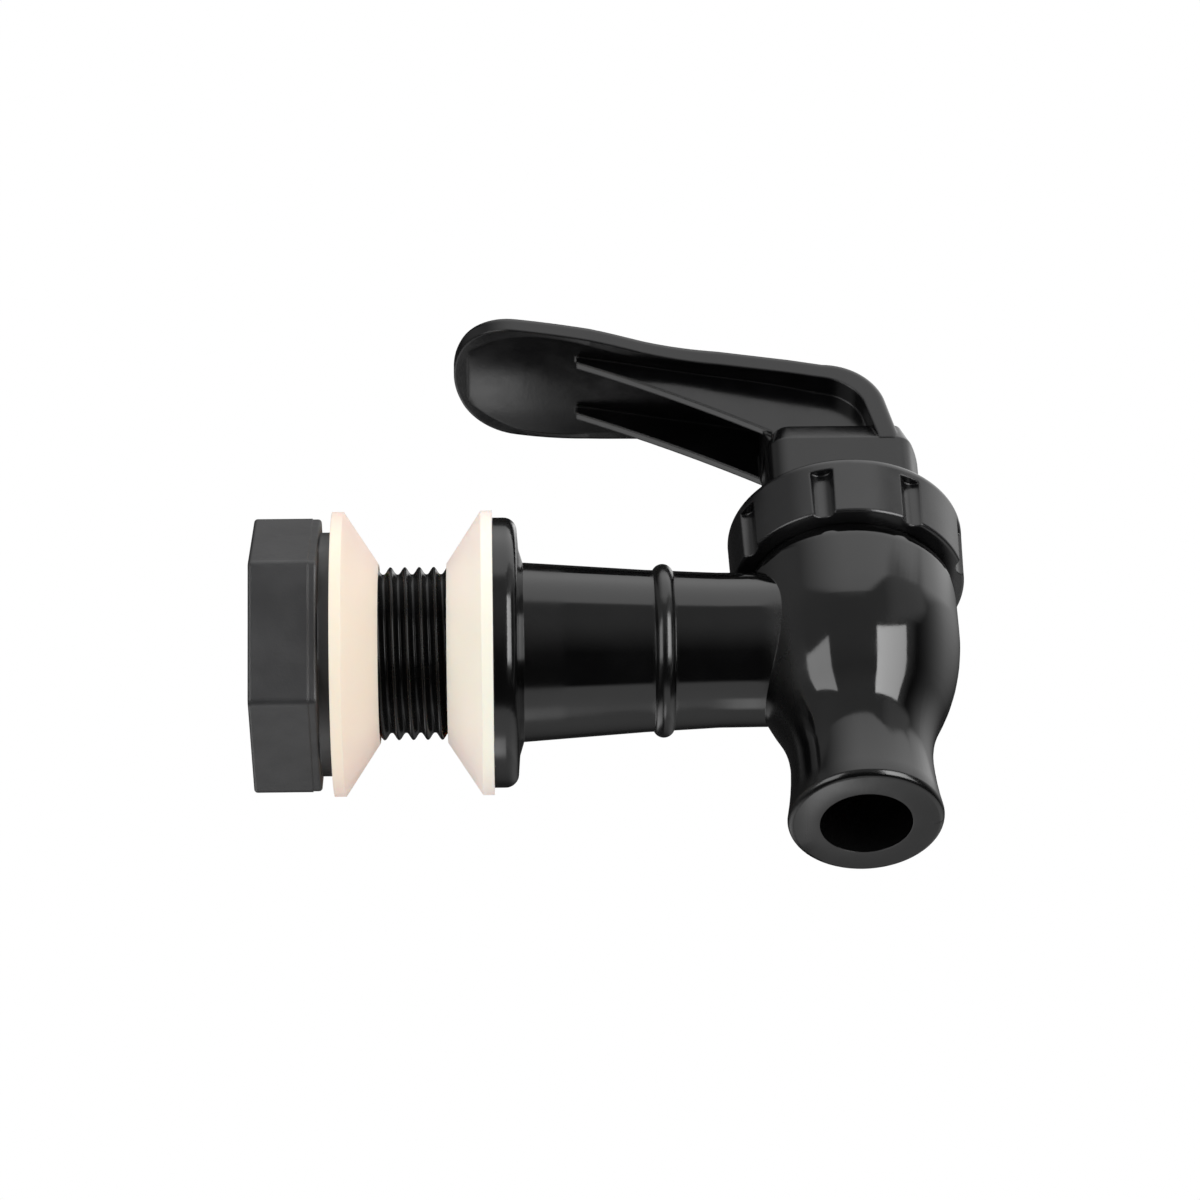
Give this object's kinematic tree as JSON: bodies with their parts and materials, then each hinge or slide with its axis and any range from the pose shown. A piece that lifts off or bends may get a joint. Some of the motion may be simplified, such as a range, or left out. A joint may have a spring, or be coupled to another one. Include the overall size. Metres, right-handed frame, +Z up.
{
  "type": "water dispenser valve",
  "caption": "Black lever tap with a threaded shank, hex tank nut, bevelled silicone washers, fluted bonnet collar, downward spout and a paddle lever.",
  "frame": {"origin": "middle of the flange's back face, on the shank's axis, where the flange washer seats", "axes": "+X along the shank's axis from the tank towards the spout, +Z up and opposite to the spout, +Y to the left of the flow"},
  "size_m": [0.0791, 0.0314, 0.0694],
  "materials": {
    "gloss_black": "moulded gloss",
    "matte_black": "moulded matte",
    "satin_black": "moulded satin",
    "silicone": "soft cream silicone",
    "white_acetal": "moulded",
    "black_rubber": "moulded",
    "spring_steel": "drawn wire"
  },
  "bodies": {
    "valve": {"valve_body": "gloss_black", "flange_washer": "silicone", "bonnet_collar": "satin_black", "bonnet_gasket": "silicone", "stem_spring": "spring_steel"},
    "washer": {"tank_washer": "silicone"},
    "nut": {"tank_nut": "matte_black"},
    "plug": {"seat_plug": "silicone"},
    "stem": {"stem": "white_acetal", "stem_o_ring": "black_rubber"},
    "lever": {"lever": "satin_black"}
  },
  "joints": [
    {"name": "nut_travel", "type": "slide", "parent": "valve", "child": "washer", "axis": [1, 0, 0], "range_m": [-0.0084, 0.0073]},
    {"name": "nut_spin", "type": "hinge", "parent": "washer", "child": "nut", "pos_m": [-0.0225, 0, 0], "axis": [1, 0, 0], "continuous": true},
    {"name": "stem_lift", "type": "slide", "parent": "valve", "child": "plug", "axis": [0, 0, 1], "range_m": [0, 0.0027], "deforming": ["stem_spring"]},
    {"name": "lever_turn", "type": "hinge", "parent": "plug", "child": "stem", "pos_m": [0.03966, 0, 0.0225], "axis": [0, 0, 1], "continuous": true},
    {"name": "lever_tilt", "type": "hinge", "parent": "stem", "child": "lever", "pos_m": [0.03966, 0, 0.0225], "axis": [0, -1, 0], "range_deg": [0, 20], "stiffness_Nm_per_rad": 0.0347, "springref_deg": -45.21}
  ],
  "couplings": [
    {"joint": "nut_spin", "follows": "nut_travel", "rad_per_m": 3957.9},
    {"joint": "stem_lift", "follows": "lever_tilt", "m_per_rad": 0.0076}
  ]
}
